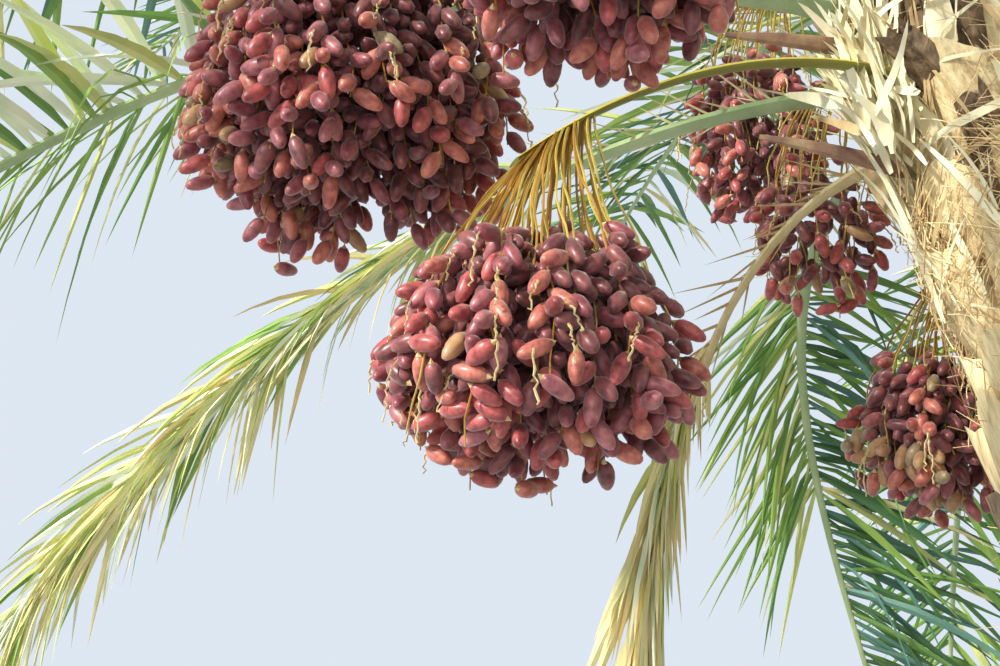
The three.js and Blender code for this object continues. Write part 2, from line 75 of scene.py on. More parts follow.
# A limb's course: azimuth and height of its foot, launch above level, how far it bends down and how early
# (curl), its length, and how far it turns by its tip, round the trunk (sway) and about itself (roll)
TIER_KEYS = ("name", "count", "azimuth", "step", "foot", "launch", "bend", "curl", "length", "roll")
TIERS = [
    ("dry_frond", 3, 156, -118, 2.64, -4, 84, 6.5, 2.25, 10),
    ("skirt_frond", 4, 104, -63, 2.7, 12, 98, 2.6, 2.65, 14),
    ("outer_frond", 9, 176, -40, 2.81, 20, 72, 1.6, 3.0, 30),
    ("middle_frond", 10, 199, -36, 2.95, 42, 74, 1.2, 3.05, 24),
    ("upper_frond", 8, 190, -45, 3.09, 60, 62, 1, 2.9, 16),
    ("young_frond", 6, 172, -60, 3.23, 75, 40, 0.8, 2.55, 10),
    ("heart_frond", 5, 150, -72, 3.45, 84, 10, 0.6, 2.05, 0),
]
# What a frond is like where neither its tier nor its own line says otherwise. A pair is for its two sides
USUAL_FROND = dict(
    tone="fresh",
    first_tone=None,  # of the first side, where it differs
    split=False,  # whether two solids stand for it
    group=1,  # how many fronds share a solid
    stout=1,  # scales its rib
    leaflets=96,  # how many a side has
    spread=1, fold=1, limp=1,  # scale their length, angle and droop
    gathered=(1, 1), grown=(1, 1), broad=(1, 1),  # scale each side's angle, length and width
    thin=0.55,  # scales the width of those that hang
    close=0,  # share of them close to the rib
    bald=1,  # how far out the first side has any
    eager=0.45,  # the first ones' share of the longest length
    ruffled=1,  # scales the angles of their planes
)
TIER_LOOKS = {
    "dry_frond": dict(tone="dry", split=True, stout=0.8, leaflets=220, spread=0.72, fold=0.55, limp=2.6,
                      gathered=(0.9, 0.35), grown=(1.35, 1.1), broad=(1.15, 1.15), close=0.4),
    "skirt_frond": dict(tone="shaded", split=True),
    "upper_frond": dict(group=2, stout=0.9, spread=0.95, limp=0.8),
    "young_frond": dict(tone="young", group=2, stout=0.8, spread=0.8, fold=0.8, limp=0.5),
    "heart_frond": dict(inset=0.048, tone="young", group=5, stout=0.6, spread=0.34, fold=0.5, limp=0.2),
}
SEEDS_A_TIER = 20
ROOT_VARIATION = dict(azimuth=4, foot=0.025, launch=4, bend=5)
PLACED_FRONDS = {
    "dry_frond_1": dict(
        azimuth=154.8, foot=2.66, launch=13, bend=103, curl=6.7, sway=-3, length=2.3, leaflets=360,
        broad=(1.25, 1.25)),
    "skirt_frond_1": dict(
        azimuth=119.5, foot=2.786, launch=17.6, bend=108, curl=1.95, sway=-131, length=2.65, stout=0.75,
        first_tone="olive", leaflets=200, gathered=(0.6, 1.05), grown=(1.1, 1), broad=(0.6, 0.8), bald=0.25,
        eager=0.9, ruffled=0.6),
    "outer_frond_1": dict(
        azimuth=173, foot=2.834, launch=20.5, bend=77, curl=1.5, sway=0, roll=20, length=3.1, tone="young",
        first_tone="sunlit", leaflets=160, gathered=(1.45, 0.8), broad=(1.2, 0.5), thin=0.3, close=0.15,
        ruffled=0.4),
    "outer_frond_2": dict(
        azimuth=149.8, foot=2.778, launch=14, bend=62, curl=2, sway=-9, roll=8, length=3.0, tone="golden",
        leaflets=240, spread=0.85, fold=0.6, limp=1.5, gathered=(0.95, 0.7), grown=(0.8, 0.85),
        broad=(0.85, 0.85), thin=0.35, close=0.7),
    "outer_frond_3": dict(azimuth=82),
    "outer_frond_5": dict(azimuth=20.5),
    "outer_frond_9": dict(azimuth=-138.4),
    "middle_frond_1": dict(azimuth=203.6),
    "middle_frond_3": dict(azimuth=131, launch=56, bend=58),
    "middle_frond_4": dict(azimuth=102, launch=42, bend=58, sway=0),
}

# Fruit, as in the solids: each stalk's course, how far its bunch hangs, and its half width and half height
STALK_TIP_SHARE = 0.62
FRUIT_KEYS = ("azimuth", "foot", "launch", "bend", "curl", "length", "drop", "wide", "tall")
FRUIT = [
    (199.6, 2.649, 18, 60, 0.9, 0.655, 0.24, 0.194, 0.162),
    (190.2, 2.98, 26, 49, 1.4, 0.811, 0.3, 0.232, 0.24),
    (217.9, 2.89, 26, 47, 1.3, 0.675, 0.26, 0.168, 0.155),
    (123.8, 3.04, 42, 40, 1.4, 0.465, 0.25, 0.13, 0.19),
    (137.6, 2.86, 24, 40, 1.6, 0.208, 0.22, 0.11, 0.135),
    (119.3, 2.55, 20, 40, 1.8, 0.178, 0.22, 0.14, 0.15),
    (62, 2.76, 24, 90, 1.4, 0.6, 0.24, 0.175, 0.165),
    (6, 2.82, 26, 84, 1.4, 0.66, 0.25, 0.185, 0.165),
    (312, 2.74, 22, 88, 1.4, 0.62, 0.245, 0.175, 0.165),
]

# The rest is finer growth, which only the scene holds
RIB_TAPER = 2.2
RIB_SHARES = np.linspace(0, 1, 34) ** 1.35
RIB_TOP = 0.55
HOLLOW_DEPTH = 0.3
HOLLOW_END = BLADE_START * 1.6
SPINES_A_SIDE = 14
LEAFLET_SHARES = np.array([0, 0.12, 0.34, 0.58, 0.82])
LEAFLET_SWELL = np.minimum(0.42 + 2.6 * LEAFLET_SHARES, 1)
LEAFLET_TAPER = 1 - LEAFLET_SHARES**2.2
LEAFLET_WIDTH = 0.027
LEAFLET_THICKNESS = 0.0014
LEAFLET_FOLD = 24
LEAFLET_PLANES = [-46, -18, 6, 32]
LEAFLET_SCATTER = 9
LEAFLET_TWIST = (14, 34)
CLUSTERING = 0.35
CLUSTER_TURN = 2.1
CLOSE_SHARE = 0.45
HANGING_SHARE = 0.18
HANGING_DROOP = 1.7
USUAL_DROOP = 0.28
STALK_GROWTH = 1.08
FINE_STALK_SIZE = (0.025, 0.013)
BROOM_LENGTH = 0.15
STRANDS_A_SQUARE_METRE = 500
STRAND_SPREAD = 0.87
STRAND_STATIONS = 17
STRAND_SIDE = np.array([0.31, 0.95, 0.05])
LONG_STRANDS = 0.14
BUNCH_WAVES = (3, 5)
BARE_ENDS_A_METRE = 160
BARE_STATIONS = 18
KNOT_SIZE = 0.0027
DATE_LENGTH = 0.041
DATE_WIDTH = 0.0214
BALL_SHARE = 0.44
CAP_WIDTH = 0.008
# Corners and stations of a date's mesh
FINE_DATE = (10, 6)
PLAIN_DATE = (8, 4)
INNER_DATE = (6, 4)
# As shares of a bunch's size: what is too deep inside to show, where the outer dates begin, and their room
HIDDEN_WITHIN = 0.36
OUTER_FROM = 0.78
BUNCH_ROOM = 1.12

# What a bunch is like where its own line doesn't say otherwise. Swing and depth are shares of its half width
# and half height, and the weights say how common each date colour is
USUAL_BUNCH = dict(
    mesh=PLAIN_DATE,
    spacing=0.0165,  # of the dates along a strand
    swing=0.03,  # how far it hangs the stalk's way
    lumpy=0.12,  # how uneven its outline is
    deep=0.95,  # how far down its strands reach
    rise=0,  # how much higher it hangs than its solid
    weights=[6, 6, 4, 4, 3, 0.15, 0],
)
BUNCH_LOOKS = {
    1: dict(mesh=FINE_DATE, spacing=0.015, swing=0.13, lumpy=0.08, deep=0.96, rise=0.013),
    2: dict(mesh=FINE_DATE, spacing=0.016, swing=0.04, lumpy=0.1, deep=0.84,
            weights=[4, 8, 3, 6, 2, 0.8, 1.4]),
    3: dict(mesh=FINE_DATE, spacing=0.015, swing=0, lumpy=0.05),
    4: dict(spacing=0.021, weights=[6, 6, 2, 3, 1, 0.5, 0.2]),
    5: dict(spacing=0.025, weights=[6, 6, 2, 3, 1, 0.8, 0.2], lumpy=0.2),
    6: dict(spacing=0.015, weights=[2, 6, 0.5, 5, 1, 5, 2], rise=0.02),
}
# Colour weights of the dates deep inside a bunch: nearly all the darkest brown, which is painted shade among
# the dates
SHADED_INNER_DATE_WEIGHTS = [0, 0, 1, 0, 8, 0, 0]

# Trunk: rows of cut leaf bases, and stubs of cut fronds, some placed round the foot of the nearest stalk by
# their azimuth, foot, launch, length and kind
ROWS_OF_BASES = 23
BASES_A_ROW = 12
YOUNG_BASES_SHARE = 0.24
STUBS = 13
# Most of these stubs take the darkest kind, which is the boots' own weathered brown and also painted shade
# on this side of the head
PLACED_STUBS = [
    (207, 2.585, 44, 0.19, None),
    (213, 2.6, 70, 0.2, "bases_dark_and_shade"),
    (206, 2.68, 74, 0.18, "bases_dark_and_shade"),
    (221, 2.66, 64, 0.22, "bases_dark_and_shade"),
    (202, 2.47, 76, 0.22, "bases_young"),
    (213, 2.4, 72, 0.24, "bases_dark_and_shade"),
]
# Dry sheaths that the bunches grew out of: azimuth, foot, launch, bend and length
SPATHES = [
    (193, 2.705, 8, 8, 0.32),
    (178, 2.54, 27, 12, 0.31),
    (240, 2.9, 40, 10, 0.36),
    (60, 2.85, 36, 14, 0.36),
    (318, 2.8, 30, 16, 0.36),
]
SPATHE_WIDTH = 0.03
# What peels off the old sheaths: straps and broad sheets all round the head, and a clump of short straps at
# the foot of the nearest stalk
STRAPS = 1250
SHEETS = 150
CLUMP = 110
CLUMP_AZIMUTH = 198
CLUMP_HEIGHT = 2.63
CROSSING_SHARE = 0.12
# The sector of the head that most of them have fallen from: middle, half width and lowest height
BARE_SECTOR = (217, 14, 2.5)
# Fibres in the patches of a mat round the head, and fibres that fray, some of them low on the trunk
MATTED_FIBRES = 2100
MATS = 8
MAT_AZIMUTH = 187
FRAYED_FIBRES = 1200
LOW_FIBRES_SHARE = 0.4


def seeded(seed):
    """The solids' seeded draw: a function that gives numbers between low and high."""
    state = seed * 2654435761 % 2**32

    def draw(low=0.0, high=1.0):
        nonlocal state
        state = (state * 1664525 + 1013904223) % 2**32
        return low + (high - low) * state / 2**32

    draw()
    return draw


def level(azimuth):
    """Level directions at azimuths in degrees."""
    angle = np.radians(azimuth)
    return np.stack([np.cos(angle), np.sin(angle), np.zeros_like(angle)], -1)


def unit(vectors):
    return vectors / np.maximum(np.linalg.norm(vectors, axis=-1, keepdims=True), 1e-9)


def dot(a, b):
    return (a * b).sum(-1, keepdims=True)


def turned(vectors, axes, angles):
    """Vectors turned about unit axes by angles in degrees."""
    angles = np.radians(angles)[..., None]
    along = axes * dot(vectors, axes)
    return along + (vectors - along) * np.cos(angles) + np.cross(axes, vectors) * np.sin(angles)


def points_at(places, stations, course):
    """Points at places along a course, whose own points are at stations."""
    return np.stack([np.interp(places, stations, course[:, k]) for k in range(3)], -1)


def trunk_axis(z):
    z = np.asarray(z, float)
    return np.stack([LEAN * (np.maximum(z, 0) / LEAN_HEIGHT) ** LEAN_POWER, np.zeros_like(z), z], -1)


def trunk_radius(z):
    return np.interp(z, TRUNK_HEIGHTS, TRUNK_RADII)


# Limbs: the rule by which fronds and stalks grow


def heading_at(limb, shares):
    turn = (1 - np.exp(-limb["curl"] * shares)) / (1 - np.exp(-limb["curl"]))
    rise = np.radians(limb["launch"] - limb["bend"] * turn)[..., None]
    return level(limb["azimuth"] + limb["sway"] * shares) * np.cos(rise) + UP * np.sin(rise)


def limb_course(limb, shares):
    """Points, tangents, side and upper directions of a limb at shares of its length."""
    grid = np.linspace(0, 1, LIMB_STEPS + 1)
    steps = heading_at(limb, (grid[1:] + grid[:-1]) / 2) * limb["length"] / LIMB_STEPS
    inset = limb.get("inset", SEAT_DEPTH * np.cos(np.radians(limb["launch"])))
    start = trunk_axis(limb["foot"]) + level(limb["azimuth"]) * (trunk_radius(limb["foot"]) - inset)
    points = points_at(shares, grid, start + np.vstack([np.zeros(3), np.cumsum(steps, axis=0)]))
    tangents = heading_at(limb, shares)
    across = level(limb["azimuth"] + limb["sway"] * shares + 90)
    over = np.cross(tangents, across)
    roll = limb["roll"] * shares
    return points, tangents, turned(across, tangents, roll), turned(over, tangents, roll)


def crown_fronds():
    """Every frond, with the same small variations as its solid."""
    fronds = []
    for row, values in enumerate(TIERS):
        tier = dict(zip(TIER_KEYS, values, strict=True))
        for number in range(1, tier["count"] + 1):
            draw = seeded(row * SEEDS_A_TIER + number)
            frond = USUAL_FROND | tier | TIER_LOOKS.get(tier["name"], {})
            frond["azimuth"] += tier["step"] * (number - 1)
            for key, most in ROOT_VARIATION.items():
                frond[key] += draw(-most, most)
            frond["length"] *= draw(0.95, 1.03)
            frond["sway"] = draw(-8, 8)
            frond["roll"] *= draw(-1, 1)
            name = f"{tier['name']}_{number}"
            frond |= PLACED_FRONDS.get(name, {})
            fronds.append(frond | dict(name=name, tier=tier["name"], number=number))
    return fronds


# Skins: closed surfaces over arrays of rings


def skins(rings, foot=None, tip=None):
    """Points and triangles of closed skins over rings, an array (skin, station, corner, 3) that turns
    rightwards about each skin's direction. Each end closes on a point, such as its ring's middle."""
    count, stations, corners, _ = rings.shape
    foot = rings[:, 0].mean(axis=1) if foot is None else foot
    tip = rings[:, -1].mean(axis=1) if tip is None else tip
    body = stations * corners
    points = np.concatenate([rings.reshape(count, body, 3), foot[:, None], tip[:, None]], axis=1)
    a = np.arange(corners)
    b = (a + 1) % corners
    last = body - corners
    triangles = [np.stack([b, a, np.full(corners, body)], -1)]
    triangles.append(np.stack([a + last, b + last, np.full(corners, body + 1)], -1))
    for low in range(0, last, corners):
        triangles.append(np.stack([a + low, b + low, b + low + corners], -1))
        triangles.append(np.stack([a + low, b + low + corners, a + low + corners], -1))
    triangles = np.concatenate(triangles)
    offsets = np.arange(count)[:, None, None] * (body + 2)
    return points.reshape(-1, 3), (triangles[None] + offsets).reshape(-1, 3)


def corner_angles(corners):
    """Where the corners of a ring are, in radians."""
    return np.arange(corners) / corners * 2 * np.pi


def tube_rings(points, sides, overs, widths, heights, corners=8):
    """Elliptical rings along tubes, whose points and directions are (tube, station, 3)."""
    angle = corner_angles(corners)
    across = sides[:, :, None] * (np.cos(angle) * widths[:, :, None] / 2)[..., None]
    over = overs[:, :, None] * (np.sin(angle) * heights[:, :, None] / 2)[..., None]
    return points[:, :, None] + across + over


def profile_rings(points, sides, overs, across, rise):
    """Rings along one course, whose corners lie these distances across it and above it."""
    return points[:, None] + sides[:, None] * across[..., None] + overs[:, None] * rise[..., None]


def blade_rings(points, across, normals, half_widths, fold, thickness):
    """Rings of thin blades that are folded along their middle, by an angle in degrees at each side."""
    edge = across * (half_widths * np.cos(np.radians(fold)))[..., None]
    raised = normals * (half_widths * np.sin(np.radians(fold)))[..., None]
    keel = normals * thickness / 2
    return np.stack([points + edge + raised, points + keel, points - edge + raised, points - keel], axis=2)


def new_object(name, data):
    made = bpy.data.objects.new(name, data)
    bpy.context.scene.collection.objects.link(made)
    return made


stock = {}


def add_to(kind, points, triangles):
    """Adds a skin to the stock of one kind, from which one piece is made in the end."""
    stock.setdefault(kind, []).append((points, triangles))


# Materials

# Where, in the range of its noise, a mottled one runs through its colours
MOTTLE_RANGE = (0.3, 0.72)


def shader_inputs(material):
    return material.node_tree.nodes["Principled BSDF"].inputs


def new_material(name, color, roughness, **inputs):
    material = bpy.data.materials.new(name)
    material.use_nodes = True
    shader_inputs(material)["Base Color"].default_value = (*color, 1)
    shader_inputs(material)["Roughness"].default_value = roughness
    for key, value in inputs.items():
        shader_inputs(material)[key.replace("_", " ")].default_value = value
    return material


def node(material, kind, **values):
    made = material.node_tree.nodes.new(kind)
    for key, value in values.items():
        if key in made.inputs:
            made.inputs[key].default_value = value
        else:
            setattr(made, key, value)
    return made


def link(material, output, target):
    material.node_tree.links.new(output, target)


def color_by(material, output, colors, places):
    """Runs the colour of a material through colours while an output goes from place to place."""
    ramp = node(material, "ShaderNodeValToRGB")
    elements = ramp.color_ramp.elements
    for _ in colors[2:]:
        elements.new(0.5)
    for index, (color, place) in enumerate(zip(colors, places, strict=True)):
        elements[index].position = place
        elements[index].color = (*color, 1)
    link(material, output, ramp.inputs["Fac"])
    link(material, ramp.outputs["Color"], shader_inputs(material)["Base Color"])


def mottled(name, colors, roughness, scale, upright=None, detail=6.0, bump=0.3, depth=0.002, **inputs):
    """A material whose colour runs through several colours with a noise, which also makes its relief. The
    noise repeats scale times a metre, or upright times along Z."""
    material = new_material(name, colors[0], roughness, **inputs)
    place = node(material, "ShaderNodeTexCoord")
    mapping = node(material, "ShaderNodeMapping", Scale=(scale, scale, upright or scale))
    link(material, place.outputs["Object"], mapping.inputs["Vector"])
    noise = node(material, "ShaderNodeTexNoise", Scale=1.0, Detail=detail, Roughness=0.62)
    link(material, mapping.outputs["Vector"], noise.inputs["Vector"])
    color_by(material, noise.outputs["Fac"], colors, np.linspace(*MOTTLE_RANGE, len(colors)))
    if bump:
        relief = node(material, "ShaderNodeBump", Strength=bump, Distance=depth)
        link(material, noise.outputs["Fac"], relief.inputs["Height"])
        link(material, relief.outputs["Normal"], shader_inputs(material)["Normal"])
    return material


def fine_mottled(name, colors, roughness, scale, detail=2, **inputs):
    """A mottled material for pieces too fine to show relief."""
    return mottled(name, colors, roughness, scale, detail=detail, bump=0, **inputs)


def weathered(name, colors, roughness, upright):
    """A mottled material with deep grooves along Z."""
    return mottled(name, colors, roughness, 90, upright, detail=8, bump=0.9, depth=0.005)


def shaded_below(name, top, below, roughness):
    """A material that is one colour on top and another below, where the colour below is painted shade."""
    material = new_material(name, top, roughness)
    place = node(material, "ShaderNodeTexCoord")
    split = node(material, "ShaderNodeSeparateXYZ")
    link(material, place.outputs["Normal"], split.inputs["Vector"])
    share = node(material, "ShaderNodeMapRange", **{"From Min": -0.6, "From Max": 0.9})
    link(material, split.outputs["Z"], share.inputs["Value"])
    color_by(material, share.outputs["Result"], (below, top), (0, 1))
    return material


# Leaf colours, each of which some leaflets have, and how often each tone of frond uses them. The near-white
# colour is painted sun glare, and the teal colour is painted sky reflection and painted shade. The sunlit
# tone, rich in the near-white colour, paints sunlight on one side of a frond, and the shaded tone, rich in
# the darker greens and the teal colour, paints shade on the lower fronds. In its darker places a leaflet
# keeps these shares of its RGB channels
LEAF_COLORS = {
    # Painted sun glare: near-white leaflets
    "pale": (0.92, 0.92, 0.7),
    "yellow": (0.7, 0.7, 0.24),
    "fresh": (0.29, 0.43, 0.08),
    "green": (0.15, 0.29, 0.055),
    "deep": (0.07, 0.165, 0.055),
    # Painted sky reflection and painted shade: teal leaflets
    "sky_reflection": (0.12, 0.26, 0.2),
    "straw": (0.96, 0.8, 0.41),
    "tan": (0.84, 0.62, 0.29),
}
LEAF_SHADE = (0.72, 0.84, 0.8)
TONES = {
    "fresh": dict(pale=0.5, yellow=1.5, fresh=5, green=6, deep=3, sky_reflection=2, straw=0.4),
    "shaded": dict(yellow=1, fresh=3, green=5, deep=5, sky_reflection=5, straw=0.6),
    "sunlit": dict(pale=10, yellow=4, fresh=4, green=1, straw=0.5),
    "golden": dict(pale=5, yellow=8, fresh=2, green=0.8, straw=5, tan=2.5),
    "dry": dict(straw=10, tan=2, pale=3, yellow=1.5),
    "olive": dict(pale=0.5, yellow=4, fresh=6, green=5, straw=0.8),
    "young": dict(pale=1, yellow=4, fresh=7, green=3),
}
DATE_COLORS = {
    "dates_red": ((0.17, 0.02, 0.024), (0.6, 0.125, 0.11)),
    "dates_russet": ((0.25, 0.038, 0.032), (0.68, 0.23, 0.155)),
    "dates_maroon": ((0.09, 0.014, 0.024), (0.4, 0.09, 0.1)),
    "dates_mauve": ((0.17, 0.032, 0.045), (0.52, 0.17, 0.17)),
    "dates_brown": ((0.06, 0.013, 0.017), (0.32, 0.085, 0.08)),
    "dates_tan": ((0.38, 0.18, 0.07), (0.52, 0.33, 0.17)),
    "dates_olive": ((0.16, 0.1, 0.045), (0.42, 0.32, 0.165)),
}


def dealt(random, weights, count):
    """Indices of kinds, dealt out by weight."""
    weights = np.asarray(weights, float)
    return random.choice(len(weights), size=count, p=weights / weights.sum())


def mixed(random, mask, inside, outside):
    """Draws from one range where a mask holds, and from another where it doesn't."""
    return np.where(mask, random.uniform(*inside, len(mask)), random.uniform(*outside, len(mask)))


# Fronds


def rib_sizes(frond, shares):
    """Widths, then heights, of a frond's rib at shares of its length."""
    sheath = np.maximum(1 - shares * frond["length"] / SHEATH_LENGTH, 0) ** 2
    size = frond["length"] / USUAL_LENGTH * frond["stout"]
    for tip, petiole, foot in zip(RIB_TIP_SIZE, PETIOLE_SIZE, FOOT_SIZE, strict=True):
        yield size * (tip + (petiole - tip) * (1 - shares) ** RIB_TAPER + (foot - petiole) * sheath)


def add_rib(frond):
    """The rib: a broad petiole with a hollowed top, which narrows to a keeled rib."""
    points, _, sides, overs = limb_course(frond, RIB_SHARES)
    widths, heights = rib_sizes(frond, RIB_SHARES)
    angle = corner_angles(12)
    across = np.cos(angle) / 2 * widths[:, None]
    rise = np.sin(angle) / 2 * heights[:, None]
    hollow = HOLLOW_DEPTH * np.maximum(1 - RIB_SHARES / HOLLOW_END, 0)[:, None] * heights[:, None]
    rise = np.where(np.sin(angle) > 0.1, RIB_TOP * rise - hollow * np.sin(angle) ** 2, rise)
    rings = profile_rings(points, sides, overs, across, rise)
    add_to("ribs_dry" if frond["tone"] == "dry" else "ribs_green", *skins(rings[None]))


def leaflet_reach(frond, along):
    """Lengths of leaflets at shares of the blade."""
    rise = np.sin(np.minimum(along / LEAFLET_LONGEST_AT, 1) * np.pi / 2)
    fall = np.maximum((along - LEAFLET_LONGEST_AT) / (1 - LEAFLET_LONGEST_AT), 0) ** LEAFLET_FALL
    swell = frond["eager"] + (1 - frond["eager"]) * rise
    shrink = 1 - (1 - LEAFLET_LAST_SHARE) * fall
    return LEAFLET_LENGTH * frond["length"] / USUAL_LENGTH * frond["spread"] * swell * shrink


def drooping(heading, droop, shares, reach=1.6, power=1.2):
    """Directions, at shares of their length, of leaflets that leave along a heading and droop."""
    return unit(heading[:, None] - UP * (droop[:, None] * shares**power * reach)[..., None])


def add_leaflets(frond, random):
    """Folded leaflets in loose clusters, which point in several planes near the petiole and lie flatter
    outwards."""
    count = frond["leaflets"]
    number = np.arange(count)
    clustered = number + CLUSTERING * np.sin(number * CLUSTER_TURN) + random.uniform(-0.2, 0.2, count)
    along = np.tile(np.clip(clustered / count, 0, 0.995), 2)
    hand = np.repeat([1.0, -1.0], count)
    grows = (hand < 0) | (along < frond["bald"])
    along, hand = along[grows], hand[grows]
    first = hand > 0
    count = len(along)
    shares = BLADE_START + (1 - BLADE_START) * along
    roots, tangents, sides, overs = limb_course(frond, shares)
    widths, _ = rib_sizes(frond, shares)

    open_angle = LEAFLET_OPEN + (LEAFLET_CLOSE - LEAFLET_OPEN) * along
    open_angle *= frond["fold"] * np.where(first, *frond["gathered"])
    open_angle *= np.where(random.random(count) < frond["close"], CLOSE_SHARE, 1)
    open_angle = np.radians(open_angle + random.normal(0, LEAFLET_SCATTER, count))[:, None]
    plane = random.choice(LEAFLET_PLANES, count) * (1 - 0.5 * along) * frond["ruffled"]
    lift = LEAFLET_LIFT * 0.6 + plane + random.normal(0, LEAFLET_SCATTER, count)
    lift = np.radians(lift)[:, None]
    reach = leaflet_reach(frond, along) * random.uniform(0.68, 1, count)
    reach *= np.where(first, *frond["grown"])
    outward = sides * hand[:, None] * np.cos(lift) + overs * np.sin(lift)
    heading = tangents * np.cos(open_angle) + outward * np.sin(open_angle)
    hangs = random.random(count) < HANGING_SHARE * frond["limp"]
    droop = frond["limp"] * np.where(hangs, HANGING_DROOP, USUAL_DROOP) * random.uniform(0.5, 1.3, count)

    ends = np.append(LEAFLET_SHARES, 1)
    steps = drooping(heading, droop, (ends[1:] + ends[:-1]) / 2)
    steps = steps * (np.diff(ends)[None] * reach[:, None])[..., None]
    start = roots + sides * (hand * widths * 0.35)[:, None]
    course = np.concatenate([start[:, None], start[:, None] + np.cumsum(steps, axis=1)], axis=1)
    directions = drooping(heading, droop, LEAFLET_SHARES)

    across = unit(tangents - heading * dot(tangents, heading))[:, None]
    across = unit(across - directions * dot(across, directions)) * -hand[:, None, None]
    at_foot, by_tip = (random.normal(0, most, count)[:, None] for most in LEAFLET_TWIST)
    across = turned(across, directions, at_foot + by_tip * LEAFLET_SHARES)
    normal = np.cross(directions, across)

    half = LEAFLET_WIDTH / 2 * np.sqrt(reach / LEAFLET_LENGTH) * random.uniform(0.8, 1.1, count)
    half *= np.where(hangs, frond["thin"], np.where(first, *frond["broad"]))
    half = half[:, None] * LEAFLET_SWELL * LEAFLET_TAPER
    rings = blade_rings(course[:, :-1], across, normal, half, LEAFLET_FOLD, LEAFLET_THICKNESS)
    for side, tone in ((1, frond["first_tone"] or frond["tone"]), (-1, frond["tone"])):
        chosen = dealt(random, list(TONES[tone].values()), count)
        for index, color in enumerate(TONES[tone]):
            picked = (chosen == index) & (hand == side)
            if picked.any():
                add_to(f"leaf_{color}", *skins(rings[picked], foot=start[picked], tip=course[picked, -1]))


def add_spines(frond, random):
    """The stiff spines that take the leaflets' place along the petiole."""
    count = SPINES_A_SIDE * 2
    shares = np.tile(np.linspace(0.06, BLADE_START * 1.05, SPINES_A_SIDE), 2)
    shares += random.uniform(-0.004, 0.004, count)
    hand = np.repeat([1.0, -1.0], SPINES_A_SIDE)
    roots, tangents, sides, overs = limb_course(frond, shares)
    widths, _ = rib_sizes(frond, shares)
    lean = np.radians(random.uniform(28, 55, count))[:, None]
    lift = np.radians(random.uniform(0, 60, count))[:, None]
    outward = sides * hand[:, None] * np.cos(lift) + overs * np.sin(lift)
    heading = unit(tangents * np.cos(lean) + outward * np.sin(lean))
    length = random.uniform(0.06, 0.18, count) * frond["spread"]
    start = roots + sides * (hand * widths * 0.42)[:, None]
    across = unit(np.cross(heading, overs))
    over = np.cross(heading, across)
    stations = np.stack([start, start + heading * (length * 0.35)[:, None]], axis=1)
    thick = np.array([[0.0065, 0.005]])
    rings = tube_rings(stations, across[:, None], over[:, None], thick, thick * 0.7, corners=4)
    kind = "spines_dry" if frond["tone"] == "dry" else "spines"
    add_to(kind, *skins(rings, tip=start + heading * length[:, None]))


# Fruit


def relaxed(centres, axes, half, radius, size, rounds=18, search=6, reach=3.6, push=0.45, pull=0.06):
    """Dates pushed apart until they only touch. Each is a pair of balls that keeps its length and is pulled
    home, inside an ellipsoid of these half sizes round the origin."""
    ends = np.concatenate([centres - axes * half, centres + axes * half])
    home = ends.copy()
    count = len(centres)
    room = np.asarray(size) - radius
    for turn in range(rounds):
        if turn % search == 0:
            gaps = np.linalg.norm(ends[:, None] - ends[None], axis=-1)
            near = (gaps < radius * reach) & np.tri(2 * count, k=-1, dtype=bool)
            a, b = np.nonzero(near)
            others = (a % count) != (b % count)
            a, b = a[others], b[others]
        apart = ends[a] - ends[b]
        gap = np.linalg.norm(apart, axis=1)
        step = (np.maximum(2 * radius - gap, 0) / np.maximum(gap, 1e-6))[:, None] * apart * push
        for k in range(3):
            ends[:, k] += np.bincount(a, step[:, k], 2 * count) - np.bincount(b, step[:, k], 2 * count)
        ends += (home - ends) * pull
        middle = (ends[:count] + ends[count:]) / 2
        along = unit(ends[count:] - ends[:count])
        ends = np.concatenate([middle - along * half, middle + along * half])
        out = np.linalg.norm(ends / room, axis=1, keepdims=True)
        ends /= np.maximum(out, 1)
    return (ends[:count] + ends[count:]) / 2, unit(ends[count:] - ends[:count])


def add_dates(centres, axes, weights, random, corners, stations, capped=True):
    """Dates at centres, oval and a little narrower towards the tip, with a pale cap at the foot. Their tips
    point along the axes."""
    count = len(centres)
    side = unit(np.cross(axes, random.normal(0, 1, (count, 3))))
    over = np.cross(axes, side)
    size = random.uniform(0.88, 1.08, count)
    at = (1 - np.cos(np.linspace(0, np.pi, stations + 2)[1:-1])) / 2
    girth = np.sqrt(1 - np.abs(2 * at - 1) ** 2.3) * (1.07 - 0.22 * at)
    length = DATE_LENGTH * size
    start = centres - axes * (length / 2)[:, None]
    places = start[:, None] + axes[:, None] * (at[None] * length[:, None])[..., None]
    width = DATE_WIDTH * random.uniform(0.88, 1.04, (count, 1)) * girth
    rings = tube_rings(places, side[:, None], over[:, None], width, width, corners)
    chosen = dealt(random, weights, count)
    for index, kind in enumerate(DATE_COLORS):
        picked = chosen == index
        if picked.any():
            tip = start[picked] + (axes * length[:, None])[picked]
            add_to(kind, *skins(rings[picked], foot=start[picked], tip=tip))
    if capped:
        foot, rim, tip = (start + axes * place for place in (-0.005, 0.0012, 0.003))
        cap = CAP_WIDTH * size[:, None]
        rings = tube_rings(rim[:, None], side[:, None], over[:, None], cap, cap, corners=5)
        add_to("date_caps", *skins(rings, foot=foot, tip=tip))


def strand_courses(feet, headings, ends, arrivals, stations, random, wave):
    """Smooth courses from feet to ends, wavy towards the end."""
    share = np.linspace(0, 1, stations)[None, :, None]
    reach = np.linalg.norm(ends - feet, axis=1)[:, None, None]
    a = feet[:, None]
    b = a + headings[:, None] * reach * 0.3
    d = ends[:, None]
    c = d - arrivals[:, None] * reach * 0.4
    course = a * (1 - share) ** 3 + 3 * b * share * (1 - share) ** 2
    course = course + 3 * c * share**2 * (1 - share) + d * share**3
    phase = random.uniform(0, 2 * np.pi, (len(feet), 1, 2))
    ripple = np.sin(phase + share * random.uniform(14, 24, (len(feet), 1, 2))) * wave * share
    return course + np.concatenate([ripple, np.zeros_like(ripple[..., :1])], axis=-1)


